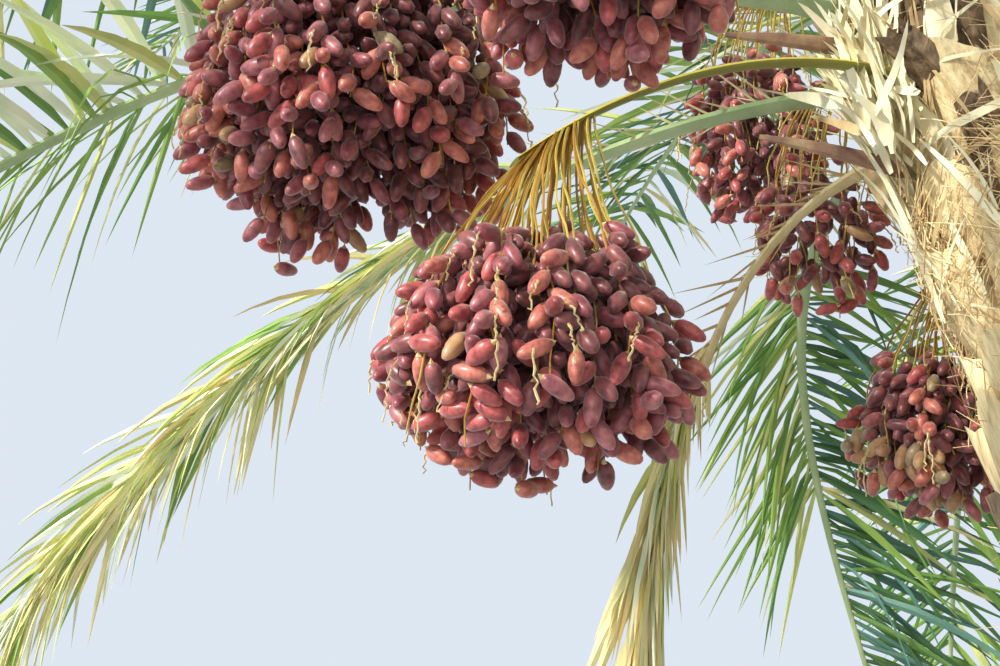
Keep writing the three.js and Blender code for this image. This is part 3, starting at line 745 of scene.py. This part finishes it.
def add_strands(kind, courses, thick, thin, corners=4, swelling=1.0):
    """Strands that taper along their courses. Swelling scales their sizes from place to place."""
    tangents = unit(np.gradient(courses, axis=1))
    sides = unit(STRAND_SIDE - tangents * dot(STRAND_SIDE, tangents))
    sizes = np.linspace(thick, thin, courses.shape[1])[None] * swelling
    rings = tube_rings(courses, sides, np.cross(tangents, sides), sizes, sizes * 0.8, corners)
    add_to(kind, *skins(rings))


def grown(stalk):
    """The stalk as it shows, whose broad end reaches a little past the solid's."""
    return stalk | dict(length=stalk["length"] * STALK_GROWTH)


def bunch_courses(bunch, centre, random):
    """Courses of a bunch's strands, which leave the stalk's broad end, spread, and hang down through the
    bunch, the heights over the centre that their dates begin at, and the lengths of their bare tails."""
    count = round(STRANDS_A_SQUARE_METRE * np.pi * bunch["wide"] ** 2)
    turn = np.arange(count) * GOLDEN_TURN
    spread = STRAND_SPREAD * np.sqrt((np.arange(count) + 0.5) / count)
    outward = level(turn)
    back = spread * dot(outward, -heading_at(bunch, np.ones(count)))[:, 0]
    shares = 1 - BROOM_LENGTH / bunch["length"] * np.clip(0.5 + 0.6 * back, 0, 1)
    feet, tangents, sides, _ = limb_course(bunch, shares)
    sideways = dot(outward, sides) * spread[:, None]
    feet = feet + sides * sideways * FINE_STALK_SIZE[0] * 0.6

    waves = sum(np.sin(np.radians(times * turn) + random.uniform(0, 6)) for times in BUNCH_WAVES)
    lumps = 1 + bunch["lumpy"] * (waves / 2 - 0.3) * spread
    half_height = bunch["tall"] * np.sqrt(1 - spread**2)
    tails = np.where(random.random(count) < LONG_STRANDS, random.uniform(0.01, 0.07, count), 0)
    uneven = 1 + bunch["lumpy"] * (waves - 1) + random.uniform(-0.22, 0.04, count)
    depth = half_height * bunch["deep"] * uneven + tails
    ends = centre + outward * (spread * lumps * bunch["wide"])[:, None] - UP * depth[:, None]
    ends += level(bunch["azimuth"]) * bunch["swing"] * bunch["wide"] + random.normal(0, 0.008, (count, 3))
    headings = unit(tangents * 0.5 + outward * spread[:, None] * 0.45 - UP * 0.5)
    arrivals = unit(outward * spread[:, None] * 0.05 - UP)
    courses = strand_courses(feet, headings, ends, arrivals, STRAND_STATIONS, random, 0.006)
    tops = half_height * (random.uniform(0.5, 1, count) + bunch["lumpy"] * waves * spread)
    tops = np.minimum(tops, bunch["tall"] * (0.78 + bunch["lumpy"] * waves))
    return courses, tops, tails


def date_places(course, top, tail, centre, spacing, random):
    """Feet and directions of the dates that sit close together round one strand, below its bare upper part.
    A long strand is bare again along its tail, but for a last date."""
    along = np.concatenate([[0], np.cumsum(np.linalg.norm(np.diff(course, axis=0), axis=1))])
    marks = np.arange(0, along[-1] - 0.004 - tail, spacing)
    marks += random.uniform(-0.3, 0.3, len(marks)) * spacing
    if tail > 0:
        marks = np.append(marks, along[-1] - 0.002)
    feet = points_at(marks, along, course)
    feet = feet[feet[:, 2] < centre[2] + top]
    count = len(feet)
    around = level(random.uniform(0, 360) + np.arange(count) * GOLDEN_TURN)
    outward = unit((feet - centre) * [1, 1, 0.3])
    down = random.uniform(0.2, 1.3, (count, 1))
    return feet, unit(around * 0.7 + outward * 0.5 - UP * down + random.normal(0, 0.15, (count, 3)))


def add_bare_ends(centre, roots, count, random):
    """Knobbly ends of strands that have lost their dates, which hang from among the outer dates."""
    roots = roots[roots[:, 2] > np.quantile(roots[:, 2], 0.5)]
    chosen = roots[random.integers(len(roots), size=count)]
    outward = unit(chosen * [1, 1, 0.4])
    start = centre + chosen + outward * DATE_WIDTH * 0.3
    length = random.uniform(0.03, 0.075, (count, 1))
    ends = start + outward * 0.016 + random.normal(0, 0.008, (count, 3)) - UP * length
    headings, arrivals = unit(outward - UP * 0.6), unit(outward * 0.1 - UP)
    courses = strand_courses(start, headings, ends, arrivals, BARE_STATIONS, random, 0)
    growing = np.linspace(0.3, 1, BARE_STATIONS)[None, :, None]
    knots = random.uniform(-KNOT_SIZE, KNOT_SIZE, courses.shape) * growing
    swelling = random.uniform(0.7, 1.6, courses.shape[:2])
    add_strands("strands_dry", courses + knots, 0.0028, 0.0024, swelling=swelling)


def add_bunch(bunch, random):
    """A bunch: strands fan out of the stalk's broad end and hang down, each set with dates."""
    end = limb_course(bunch, np.array([1.0]))[0][0]
    centre = end - UP * (bunch["drop"] - bunch["rise"])
    size = np.array([bunch["wide"], bunch["wide"], bunch["tall"]])
    courses, *limits = bunch_courses(grown(bunch), centre, random)
    strands = zip(courses, *limits, strict=True)
    places = [date_places(*strand, centre, bunch["spacing"], random) for strand in strands]
    feet, axes = (np.concatenate(values) for values in zip(*places, strict=True))
    centres = feet - centre + axes * (DATE_LENGTH / 2 + 0.003)
    shown = np.linalg.norm(centres / size, axis=1) > HIDDEN_WITHIN
    radius = DATE_WIDTH * BALL_SHARE
    half = DATE_LENGTH / 2 - radius
    centres, axes = relaxed(centres[shown], axes[shown], half, radius, size * BUNCH_ROOM)
    near = np.linalg.norm(centres / size, axis=1) > OUTER_FROM
    add_dates(centre + centres[near], axes[near], bunch["weights"], random, *bunch["mesh"])
    # The inner dates take the darkest colours as painted shade within the bunch
    add_dates(centre + centres[~near], axes[~near], SHADED_INNER_DATE_WEIGHTS, random, *INNER_DATE, capped=False)
    gold = random.random(len(courses)) < 0.5
    add_strands("strands_gold", courses[gold], 0.0044, 0.0024)
    add_strands("strands_yellow", courses[~gold], 0.0042, 0.0024)
    add_bare_ends(centre, centres[near], round(BARE_ENDS_A_METRE * bunch["wide"]), random)


def add_stalk(stalk):
    """A fruit stalk, which widens and flattens into the broom that its strands leave."""
    shares = np.linspace(0, 1, 26)
    points, _, sides, overs = limb_course(grown(stalk), shares)
    taper = 1 - (1 - STALK_TIP_SHARE) * shares
    broom = np.clip(1 - (1 - shares) * stalk["length"] / BROOM_LENGTH, 0, 1)
    widths = FINE_STALK_SIZE[0] * (taper + 0.7 * broom)
    heights = FINE_STALK_SIZE[1] * (taper - 0.3 * broom)
    rings = tube_rings(points[None], sides[None], overs[None], widths[None], heights[None], 12)
    add_to("fruit_stalks", *skins(rings))


# Trunk


def on_trunk(azimuth, z, out):
    """Points at azimuths and heights, out from the trunk's plain surface."""
    return trunk_axis(z) + level(azimuth) * (trunk_radius(z) + out)[..., None]


def add_core(random):
    """The trunk behind its leaf bases: a fibrous column, whose ridges sway as they rise."""
    around = 80
    heights = np.unique(np.concatenate([np.linspace(0, HEAD_TOP, 120), TRUNK_HEIGHTS]))
    azimuth = np.arange(around) / around * 360
    z, turn = np.meshgrid(heights, azimuth, indexing="ij")
    ridges = np.sin(np.radians(turn * 24) + 3 * np.sin(z * 31))
    wrinkles = np.sin(z * 190 + turn * 0.3)
    relief = 0.004 * ridges + 0.003 * wrinkles + random.normal(0, 0.0022, z.shape)
    calm = np.clip(np.minimum(z / 0.05, (HEAD_TOP - z) / 0.05), 0, 1)
    rings = on_trunk(turn, z, (relief - 0.003) * calm)
    add_to("trunk_core", *skins(rings[None]))


def add_bases(random):
    """Cut leaf bases in alternating rows: crescents that lean out of the trunk and end in a ragged cut."""
    pitch = (BASE_LAST - BASE_FIRST) / ROWS_OF_BASES
    shares = np.array([0, 0.2, 0.45, 0.7, 0.88, 1.0])
    corners = 16
    angle = corner_angles(corners)
    outer = np.sin(angle) > 0
    for row in range(ROWS_OF_BASES):
        age = 1 - row / ROWS_OF_BASES
        most = BASE_OUT + (BASE_OUT_TOP - BASE_OUT) * (1 - age) ** 3
        for column in range(BASES_A_ROW):
            azimuth = (column + row % 2 / 2) * 360 / BASES_A_ROW + random.uniform(-3, 3)
            foot = BASE_FIRST + row * pitch + random.uniform(-0.012, 0.012)
            z = foot + shares * pitch * random.uniform(1.05, 1.4)
            radius = trunk_radius(z)
            wide = radius * np.radians(360 / BASES_A_ROW) * (0.56 - 0.1 * shares - 0.1 * shares**3)
            wide *= random.uniform(0.85, 1.08)
            thick = most * (0.2 + 0.8 * shares) * random.uniform(0.75, 1.1)
            across = np.cos(angle) * wide[:, None]
            crest = np.maximum(np.sin(angle), 0) ** 0.7
            ridge = 0.07 * np.sin(angle * 5 + random.uniform(0, 6)) * outer
            out = np.where(outer, (crest + ridge) * thick[:, None], 0.03 * np.sin(angle))
            ragged = random.uniform(-0.012, 0.012, corners) * shares[:, None] ** 4
            place = azimuth + np.degrees(across / radius[:, None])
            sag = -0.02 * (across / wide[:, None]) ** 2 * shares[:, None]
            rings = on_trunk(place, z[:, None] + ragged + sag, out)
            tip = on_trunk(azimuth, z[-1] - 0.03, np.array(thick[-1] * 0.35))
            kind = "bases_young" if age + random.uniform(-0.1, 0.1) < YOUNG_BASES_SHARE else "bases_old"
            add_to(kind, *skins(rings[None], tip=tip[None]))


def add_stubs(random):
    """Stubs of fronds cut long ago, which lean out of the head and end in a hollow, ragged cut."""
    shares = np.linspace(0, 1, 9)
    corners = 14
    angle = corner_angles(corners)
    stubs = list(PLACED_STUBS)
    for number in range(STUBS):
        azimuth = number * 360 / STUBS + random.uniform(-8, 8)
        foot, launch = random.uniform(2.52, 2.72), random.uniform(56, 74)
        stubs.append((azimuth, foot, launch, random.uniform(0.15, 0.24), None))
    for azimuth, foot, launch, length, kind in stubs:
        stub = dict(azimuth=azimuth, foot=foot, launch=launch, length=length)
        points, _, sides, overs = limb_course(stub | dict(bend=10, curl=1, sway=0, roll=0), shares)
        wide = random.uniform(0.04, 0.052) * (1 - 0.34 * shares)
        across = np.cos(angle) * wide[:, None]
        rise = np.where(np.sin(angle) > 0, 0.1, 0.5) * np.sin(angle) * wide[:, None]
        rise += 0.0035 * np.sin(angle * 4 + random.uniform(0, 6)) * (np.sin(angle) < 0)
        rings = profile_rings(points, sides, overs, across, rise)
        rings[-1] += (points[-1] - points[-2]) * random.uniform(-0.5, 0.7, (corners, 1))
        usual = "bases_young" if random.random() < 0.6 else "bases_dark_and_shade"
        add_to(kind or usual, *skins(rings[None], tip=points[None, -2]))


def add_straps(random):
    """Straps and sheets that peel off the old sheaths. They lie up the trunk, and their ends curl away."""
    count = STRAPS + SHEETS + CLUMP
    number = np.arange(count)
    clump = number >= STRAPS + SHEETS
    sheet = (number >= STRAPS) & ~clump
    shares = np.array([0, 0.2, 0.45, 0.7, 0.9])
    at = np.append(shares, 1)
    z = np.where(clump, random.normal(CLUMP_HEIGHT, 0.04, count), random.triangular(2.3, 2.72, 3.2, count))
    azimuth = np.where(clump, random.normal(CLUMP_AZIMUTH, 6, count), random.uniform(0, 360, count))
    length = mixed(random, clump, (0.05, 0.14), (0.08, 0.3))
    crossing = (random.random(count) < CROSSING_SHARE) & ~(sheet | clump)
    lean = random.normal(0, np.where(clump, 21, 16))
    tilt = np.radians(lean + np.where(crossing, 80, 0))
    curl = random.uniform(0, 0.05, count)
    up = z[:, None] + np.cos(tilt)[:, None] * at * length[:, None]
    turn = np.degrees(np.sin(tilt) * length / trunk_radius(z))[:, None] * at + azimuth[:, None]
    out = mixed(random, clump, (0.04, 0.115), (0.006, 0.045))[:, None] + curl[:, None] * at**3
    course = on_trunk(turn, np.minimum(up, HEAD_TOP), out)
    directions = unit(np.gradient(course, axis=1))[:, :-1]
    normals = level(turn[:, :-1] + random.normal(0, np.where(sheet, 6, 25))[:, None])
    across = unit(np.cross(directions, normals))
    normals = np.cross(across, directions)
    half = mixed(random, sheet, (0.012, 0.03), (0.002, 0.008))
    half = np.where(clump, random.uniform(0.003, 0.013, count), half)
    half = half[:, None] * (1 - 0.75 * shares**2) * np.minimum(0.5 + 2 * shares, 1)
    rings = blade_rings(course[:, :-1], across, normals, half, fold=12, thickness=0.0016)
    cream = random.random(count) < np.where(sheet | clump, 0.94, 0.74)
    middle, reach, lowest = BARE_SECTOR
    bare = (np.abs(azimuth - middle) < reach) & (z > lowest) & (random.random(count) < 0.85)
    for kind, picked in (("sheath_cream", cream & ~bare), ("sheath_tan", ~cream & ~bare)):
        add_to(kind, *skins(rings[picked], foot=course[picked, 0], tip=course[picked, -1]))


def add_spathes():
    """The dry woody sheaths that the bunches grew out of, like narrow boats with a point."""
    shares = np.linspace(0, 0.985, 16)
    angle = corner_angles(10)
    for azimuth, foot, launch, bend, length in SPATHES:
        spathe = dict(azimuth=azimuth, foot=foot, launch=launch, bend=bend, length=length)
        points, _, sides, overs = limb_course(spathe | dict(curl=1, sway=0, roll=18), shares)
        wide = SPATHE_WIDTH / 2 * np.sin(np.pi * (0.12 + 0.88 * shares) ** 0.8) ** 0.8 + 0.002
        across = np.cos(angle) * wide[:, None]
        rim = np.abs(np.cos(angle)) ** 2 * wide[:, None] * 0.6
        rise = np.sin(angle) * 0.0035 + rim
        add_to("spathes", *skins(profile_rings(points, sides, overs, across, rise)[None]))


def add_fibres(random):
    """Coarse fibres of the old sheaths: crossed in a mat round the head, and frayed out of the trunk."""
    count = MATTED_FIBRES + FRAYED_FIBRES
    matted = np.arange(count) < MATTED_FIBRES
    low = random.random(count) < LOW_FIBRES_SHARE
    patch = random.integers(MATS, size=count)
    z = 2.45 + 0.05 * np.sin(patch * 2.4) + random.normal(0, 0.07, count)
    z = np.where(matted, z, random.uniform(2.2, 3.2, count))
    z = np.where(low & ~matted, random.uniform(0.25, 2.3, count), z)
    azimuth = MAT_AZIMUTH + patch * 360 / MATS + random.normal(0, 10, count)
    azimuth = np.where(matted, azimuth, random.uniform(0, 360, count))
    length = mixed(random, matted, (0.06, 0.15), (0.04, 0.12))
    lean = np.radians(random.choice([-1, 1], count) * random.uniform(18, 75, count))
    foot = on_trunk(azimuth, z, np.where(matted, random.uniform(0.01, 0.055, count), 0.0))
    along = level(azimuth + 90) * np.sin(lean)[:, None] + UP * np.cos(lean)[:, None]
    away = np.where(matted, random.normal(0, 0.06, count), random.uniform(0.2, 0.8, count))
    away = level(azimuth) * away[:, None]
    sag = UP * np.where(matted, 0, 0.35)[:, None]
    ends = foot + (along * 0.9 + away - sag) * length[:, None]
    arrivals = unit(ends - foot - UP * 0.02)
    courses = strand_courses(foot, unit(along + away), ends, arrivals, 5, random, 0.004)
    gold = random.random(count) < 0.7
    add_strands("fibres_gold", courses[gold], 0.0021, 0.0011, corners=3)
    add_strands("fibres_brown", courses[~gold], 0.0021, 0.0011, corners=3)


# Assembly

random = np.random.default_rng(FROND_SEED)
fronds = crown_fronds()
for frond in fronds:
    add_rib(frond)
    add_leaflets(frond, random)
    add_spines(frond, random)
random = np.random.default_rng(FRUIT_SEED)
for number, values in enumerate(FRUIT, 1):
    course = dict(zip(FRUIT_KEYS, values, strict=True), sway=0, roll=0)
    bunch = USUAL_BUNCH | course | BUNCH_LOOKS.get(number, {})
    add_stalk(bunch)
    add_bunch(bunch, random)
random = np.random.default_rng(TRUNK_SEED)
add_core(random)
add_bases(random)
add_stubs(random)
add_straps(random)
add_spathes()
add_fibres(random)

MATERIALS = {
    "ribs_green": mottled(
        "petiole_green", [(0.27, 0.38, 0.17), (0.38, 0.5, 0.24), (0.55, 0.6, 0.32)], 0.42, 9),
    "ribs_dry": mottled("petiole_dry", [(0.6, 0.48, 0.24), (0.78, 0.68, 0.4), (0.5, 0.36, 0.17)], 0.6, 12),
    "spines": fine_mottled("spine_cream", [(0.5, 0.46, 0.2), (0.78, 0.72, 0.4)], 0.45, 20),
    "spines_dry": fine_mottled("spine_straw", [(0.42, 0.3, 0.13), (0.64, 0.5, 0.25)], 0.6, 20),
    # Gold stalks with an olive underside, which is painted shade
    "fruit_stalks": shaded_below("stalk_gold_shaded_below", (0.62, 0.5, 0.07), (0.2, 0.2, 0.03), 0.4),
    "spathes": mottled(
        "spathe_brown", [(0.14, 0.065, 0.06), (0.3, 0.17, 0.11), (0.52, 0.36, 0.2)], 0.7, 20),
    "sheath_cream": mottled(
        "sheath_cream", [(0.72, 0.62, 0.36), (0.86, 0.8, 0.54), (0.89, 0.86, 0.66)], 0.75, 16),
    "sheath_tan": mottled(
        "sheath_tan", [(0.26, 0.17, 0.08), (0.5, 0.36, 0.17), (0.66, 0.5, 0.26)], 0.8, 20),
    "strands_gold": fine_mottled("strand_gold", [(0.36, 0.17, 0.03), (0.66, 0.38, 0.07)], 0.45, 24),
    "strands_yellow": fine_mottled("strand_yellow", [(0.48, 0.36, 0.05), (0.78, 0.6, 0.16)], 0.45, 24),
    "strands_dry": fine_mottled("strand_dry", [(0.55, 0.4, 0.14), (0.85, 0.72, 0.4)], 0.6, 60),
    "date_caps": fine_mottled("cap_straw", [(0.48, 0.3, 0.12), (0.72, 0.55, 0.28)], 0.6, 60),
    "trunk_core": mottled(
        "trunk_fibre", [(0.06, 0.04, 0.025), (0.2, 0.13, 0.07), (0.32, 0.22, 0.12)], 0.9, 40, upright=9,
        bump=0.8, depth=0.006),
    "bases_old": weathered(
        "base_weathered", [(0.13, 0.09, 0.055), (0.32, 0.23, 0.14), (0.46, 0.36, 0.23)], 0.9, upright=9),
    # The boots' own dark weathered brown, which is also painted shade where the placed stubs stand
    "bases_dark_and_shade": weathered(
        "base_dark_and_shade", [(0.05, 0.035, 0.022), (0.2, 0.13, 0.075), (0.38, 0.27, 0.16)], 0.9, upright=7),
    "bases_young": weathered(
        "base_straw", [(0.48, 0.33, 0.15), (0.82, 0.67, 0.37), (0.93, 0.83, 0.52)], 0.8, upright=7),
    "fibres_gold": fine_mottled("fibre_gold", [(0.74, 0.52, 0.24), (0.95, 0.8, 0.45)], 0.7, 20),
    "fibres_brown": fine_mottled("fibre_brown", [(0.34, 0.21, 0.1), (0.56, 0.38, 0.19)], 0.8, 20),
}
for name, color in LEAF_COLORS.items():
    shade = tuple(value * share for value, share in zip(color, LEAF_SHADE, strict=True))
    MATERIALS[f"leaf_{name}"] = fine_mottled(f"leaf_{name}", (shade, color), 0.5, 11)
for kind, colors in DATE_COLORS.items():
    MATERIALS[kind] = fine_mottled(kind, colors, 0.38, 75, 3, Sheen_Weight=0.25, Sheen_Roughness=0.5)

KINDS_OF_SLOT = {
    "dry_frond": ("ribs_dry", "spines_dry", "leaf_straw", "leaf_tan"),
    "stalk": ("fruit_stalks", "strands_gold", "strands_yellow", "strands_dry"),
    "dates": ("date_caps", *DATE_COLORS),
    "bark": ("trunk_core", "bases_old", "bases_dark_and_shade", "bases_young", "sheath_cream", "sheath_tan",
             "spathes", "fibres_gold", "fibres_brown"),
}
SLOTS = {kind: slot for slot, kinds in KINDS_OF_SLOT.items() for kind in kinds}


def node_of(frond):
    """Names of the solids that stand for a frond."""
    if frond["group"] > 1:
        return [f"{frond['tier']}s_{(frond['number'] - 1) // frond['group'] + 1}"]
    return [frond["name"] + end for end in (("_inner", "_outer") if frond["split"] else ("",))]


REPLACED = {
    "ribs_dry": sorted({name for frond in fronds if frond["tone"] == "dry" for name in node_of(frond)}),
    "ribs_green": sorted({name for frond in fronds if frond["tone"] != "dry" for name in node_of(frond)}),
    "fruit_stalks": [f"fruit_stalk_{number + 1}" for number in range(len(FRUIT))],
    "dates_red": [f"date_bunch_{number + 1}" for number in range(len(FRUIT))],
    "trunk_core": ["trunk"],
}
# Edges that are sharper than this stay sharp
SHARP_ANGLE = 32
SHARP_ANGLE_OF_DATES = 60


def make_piece(kind, parts):
    """One mesh object from all the skins of a kind."""
    offsets = np.cumsum([0] + [len(points) for points, _ in parts[:-1]])
    points = np.concatenate([points for points, _ in parts])
    shifted = [triangles + offset for (_, triangles), offset in zip(parts, offsets, strict=True)]
    corners = np.concatenate(shifted)
    mesh = bpy.data.meshes.new(kind)
    mesh.vertices.add(len(points))
    mesh.vertices.foreach_set("co", points.astype(np.float32).ravel())
    mesh.loops.add(corners.size)
    mesh.loops.foreach_set("vertex_index", corners.astype(np.int32).ravel())
    mesh.polygons.add(len(corners))
    mesh.polygons.foreach_set("loop_start", np.arange(0, corners.size, 3, dtype=np.int32))
    mesh.update(calc_edges=True)
    mesh.shade_smooth()
    sharp = SHARP_ANGLE_OF_DATES if kind.startswith("date") else SHARP_ANGLE
    mesh.set_sharp_from_angle(angle=np.radians(sharp))
    mesh.materials.append(MATERIALS[kind])
    piece = new_object(kind, mesh)
    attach(piece, "root")
    if kind in REPLACED:
        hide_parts(*REPLACED[kind])
    SLOTS.get(kind, "green_frond")


# Camera and light, the camera first
CAMERA_PLACE = (-0.932, -2.06, 1.6)
CAMERA_RISE = 20
camera = new_object("camera", bpy.data.cameras.new("camera"))
camera.data.lens = 60
camera.data.sensor_width = 36
camera.data.clip_end = 200
upwards = Matrix.Rotation(np.radians(90 + CAMERA_RISE), 4, "X")
camera.matrix_world = Matrix.Translation(CAMERA_PLACE) @ upwards
bpy.context.scene.camera = camera

for kind, parts in stock.items():
    make_piece(kind, parts)


def add_sun(name, toward, strength, angle, color):
    """A sun whose light travels towards a direction."""
    lamp = bpy.data.lights.new(name, "SUN")
    lamp.energy = strength
    lamp.angle = np.radians(angle)
    lamp.color = color
    back = -unit(np.array(toward, float))
    side = unit(np.cross(UP, back))
    turn = Matrix((side, np.cross(back, side), back)).transposed()
    new_object(name, lamp).matrix_world = turn.to_4x4()


add_sun("key", toward=(0.62, 0.5, -0.46), strength=6.0, angle=5, color=(1, 0.97, 0.91))
add_sun("fill", toward=(0.3, 0.9, 0.12), strength=2.4, angle=50, color=(1, 0.96, 0.94))
world = bpy.data.worlds.new("studio")
bpy.context.scene.world = world
world.use_nodes = True
background = world.node_tree.nodes["Background"]
background.inputs["Color"].default_value = (0.79, 0.87, 0.97, 1)
background.inputs["Strength"].default_value = 0.92
bpy.context.scene.view_settings.view_transform = "Standard"

# The floor lies just under the trunk's cut
bpy.ops.mesh.primitive_plane_add(size=240, location=(0, 0, -0.002))
floor = bpy.context.object
floor.name = "floor"
floor.data.materials.append(new_material("floor_pale", (0.4, 0.4, 0.4), 0.8))
